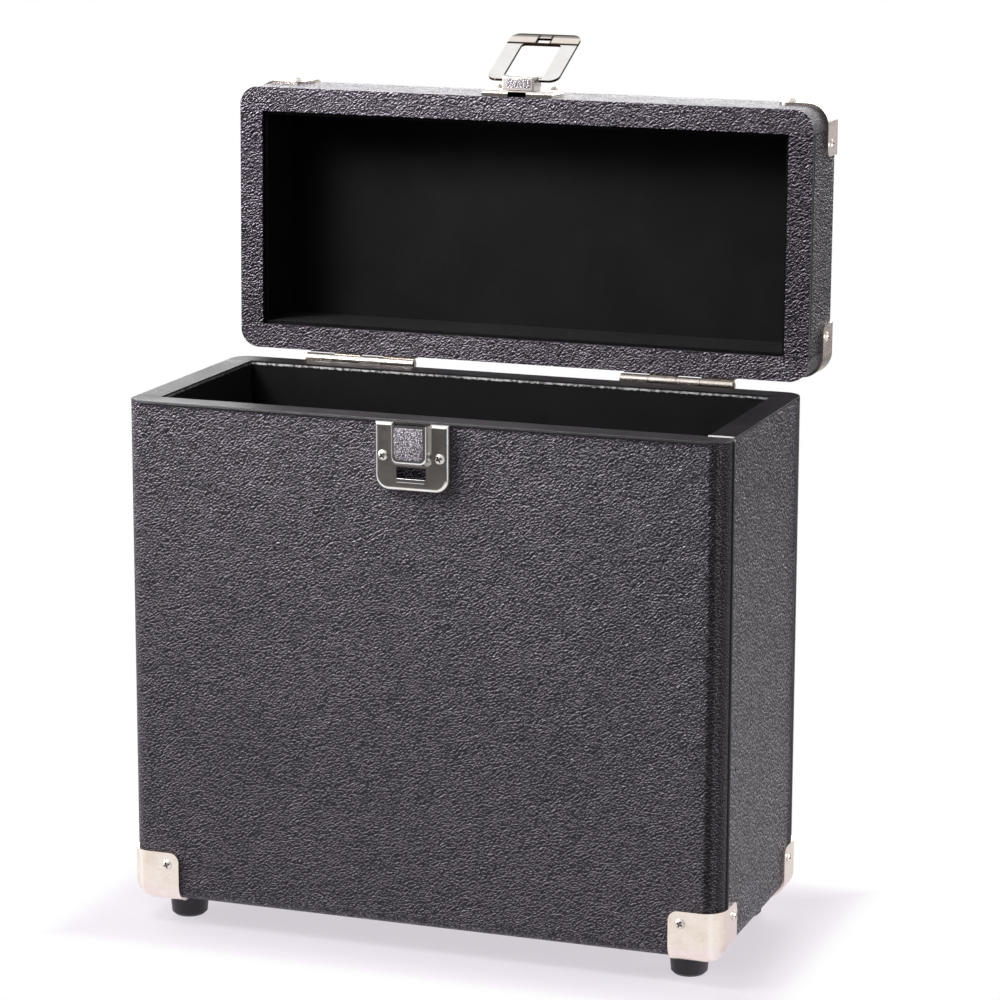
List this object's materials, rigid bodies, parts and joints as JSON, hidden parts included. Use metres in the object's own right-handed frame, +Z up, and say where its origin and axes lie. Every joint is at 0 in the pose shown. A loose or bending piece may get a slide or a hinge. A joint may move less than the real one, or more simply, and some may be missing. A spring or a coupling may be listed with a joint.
{
  "type": "record carrying case",
  "caption": "Upright record box covered in black leatherette, hinged lid standing open, nickel corner protectors and loop latch, folding carrying handle, rubber feet.",
  "frame": {"origin": "on the floor under the middle of the box, halfway between the four feet", "axes": "+X to the right seen from the front, +Y to the back where the hinges are, +Z up"},
  "size_m": [0.356, 0.2424, 0.4957],
  "materials": {
    "board": "plain fibreboard, hidden inside the covering",
    "leatherette": "semi-matt black leatherette with a pebbled grain",
    "rim_leatherette": "smooth satin black strip along the rim",
    "flannel": "deep black short-napped flannel",
    "foot_rubber": "black moulded rubber, slightly worn below",
    "nickel": "warm nickel plate, brushed to a soft shine",
    "latch_nickel": "bright nickel plate",
    "frosted_nickel": "frosted nickel with a fine speckle",
    "hinge_nickel": "nickel plate, lightly dulled",
    "bracket_nickel": "bright nickel plate",
    "screw_steel": "nickel-plated steel, dark in the cross recess",
    "handle_plastic": "black moulded plastic with a fine grain"
  },
  "bodies": {
    "body": {"body_panel_front": "board", "body_panel_back": "board", "body_panel_left": "board", "body_panel_right": "board", "body_panel_bottom": "board", "body_cover_wrap": "leatherette", "body_cover_left": "leatherette", "body_cover_right": "leatherette", "rim_strip_front": "rim_leatherette", "rim_strip_back": "rim_leatherette", "rim_strip_left": "rim_leatherette", "rim_strip_right": "rim_leatherette", "body_lining_walls": "flannel", "body_lining_floor": "flannel", "foot_front_left": "foot_rubber", "foot_front_right": "foot_rubber", "foot_back_left": "foot_rubber", "foot_back_right": "foot_rubber", "foot_screws": "screw_steel", "body_corner_front_left": "nickel", "body_corner_front_right": "nickel", "body_corner_back_left": "nickel", "body_corner_back_right": "nickel", "body_case_screws": "screw_steel", "catch_plate": "latch_nickel", "hinge_left_body_leaf": "hinge_nickel", "hinge_right_body_leaf": "hinge_nickel", "hinge_body_screws": "screw_steel", "hinge_pins": "hinge_nickel"},
    "lid": {"lid_panel_front": "board", "lid_panel_back": "board", "lid_panel_left": "board", "lid_panel_right": "board", "lid_panel_top": "board", "lid_cover_wrap": "leatherette", "lid_cover_left": "leatherette", "lid_cover_right": "leatherette", "lid_lining_top": "flannel", "lid_lining_walls": "flannel", "lid_corner_front_left": "nickel", "lid_corner_front_right": "nickel", "lid_corner_back_left": "nickel", "lid_corner_back_right": "nickel", "lid_case_screws": "screw_steel", "hinge_left_lid_leaf": "hinge_nickel", "hinge_right_lid_leaf": "hinge_nickel", "hinge_lid_screws": "screw_steel", "latch_base": "latch_nickel", "latch_block": "frosted_nickel", "handle_bracket_left": "bracket_nickel", "handle_bracket_right": "bracket_nickel", "handle_screws": "screw_steel"},
    "loop": {"latch_loop": "latch_nickel"},
    "handle": {"handle_grip": "handle_plastic"}
  },
  "joints": [
    {"name": "lid_hinge", "type": "hinge", "parent": "body", "child": "lid", "pos_m": [0, 0.082, 0.30425], "axis": [1, 0, 0], "range_deg": [0, 91]},
    {"name": "latch_loop_swing", "type": "hinge", "parent": "lid", "child": "loop", "pos_m": [0, 0.09641, 0.47362], "axis": [1, 0, 0], "range_deg": [0, 158]},
    {"name": "handle_swing", "type": "hinge", "parent": "lid", "child": "handle", "pos_m": [0, 0.14967, 0.38508], "axis": [1, 0, 0], "range_deg": [0, 180]}
  ]
}
